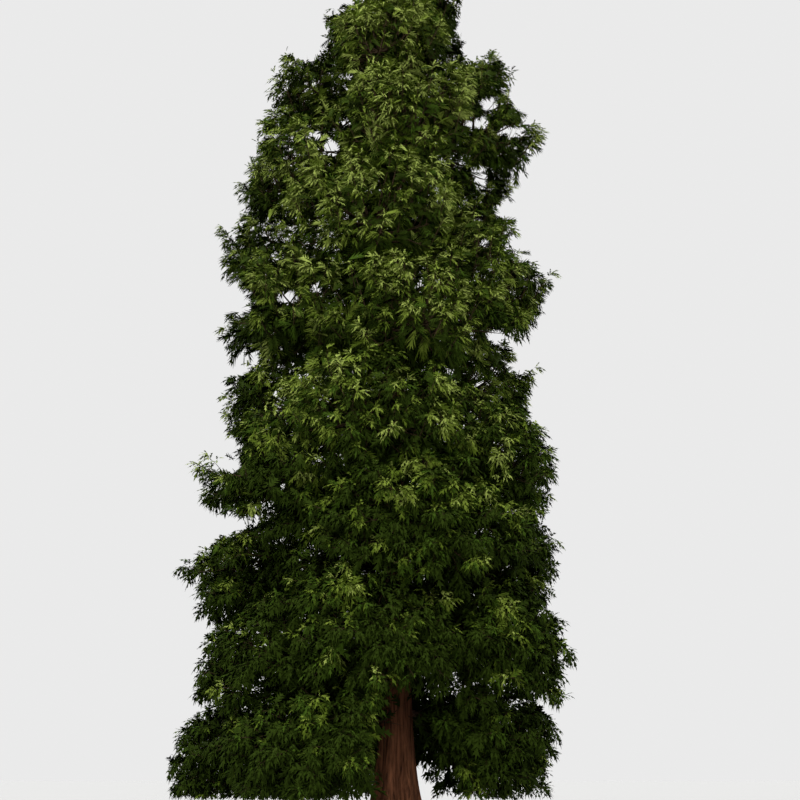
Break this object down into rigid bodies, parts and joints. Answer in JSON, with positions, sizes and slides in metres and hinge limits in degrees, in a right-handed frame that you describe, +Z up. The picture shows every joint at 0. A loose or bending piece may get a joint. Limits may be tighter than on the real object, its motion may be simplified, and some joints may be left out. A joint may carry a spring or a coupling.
{
  "type": "tree",
  "caption": "Tall narrow conifer with a fluted, flared trunk, short tapering boughs and dense feathery foliage masses, rooted at a flat ground cut.",
  "frame": {"origin": "middle of the flat cut under the trunk, at ground level", "axes": "+Z up along the trunk, +X to the tree's right as seen from the front, -Y its front"},
  "size_m": [11.6636, 11.7107, 29.4],
  "materials": {
    "bark": "matte",
    "foliage": "matte"
  },
  "bodies": {
    "root": {"trunk": "bark", "bough_back_01": "bark", "bough_back_02": "bark", "bough_back_03": "bark", "bough_back_04": "bark", "bough_front_01": "bark", "bough_front_02": "bark", "bough_front_03": "bark", "bough_front_04": "bark", "bough_left_01": "bark", "bough_left_02": "bark", "bough_left_03": "bark", "bough_left_04": "bark", "bough_left_05": "bark", "bough_left_06": "bark", "bough_right_01": "bark", "bough_right_02": "bark", "bough_right_03": "bark", "bough_right_04": "bark", "bough_right_05": "bark", "bough_right_06": "bark", "bough_skirt_01": "bark", "foliage_back_01": "foliage", "foliage_back_02": "foliage", "foliage_back_03": "foliage", "foliage_back_04": "foliage", "foliage_back_05": "foliage", "foliage_back_06": "foliage", "foliage_back_07": "foliage", "foliage_back_08": "foliage", "foliage_front_01": "foliage", "foliage_front_02": "foliage", "foliage_front_03": "foliage", "foliage_front_04": "foliage", "foliage_front_05": "foliage", "foliage_front_06": "foliage", "foliage_front_07": "foliage", "foliage_front_08": "foliage", "foliage_left_01": "foliage", "foliage_left_02": "foliage", "foliage_left_03": "foliage", "foliage_left_04": "foliage", "foliage_left_05": "foliage", "foliage_left_06": "foliage", "foliage_left_07": "foliage", "foliage_left_08": "foliage", "foliage_left_09": "foliage", "foliage_left_10": "foliage", "foliage_right_01": "foliage", "foliage_right_02": "foliage", "foliage_right_03": "foliage", "foliage_right_04": "foliage", "foliage_right_05": "foliage", "foliage_right_06": "foliage", "foliage_right_07": "foliage", "foliage_right_08": "foliage", "foliage_right_09": "foliage", "foliage_right_10": "foliage", "foliage_skirt_01": "foliage", "foliage_top": "foliage"}
  },
  "joints": []
}
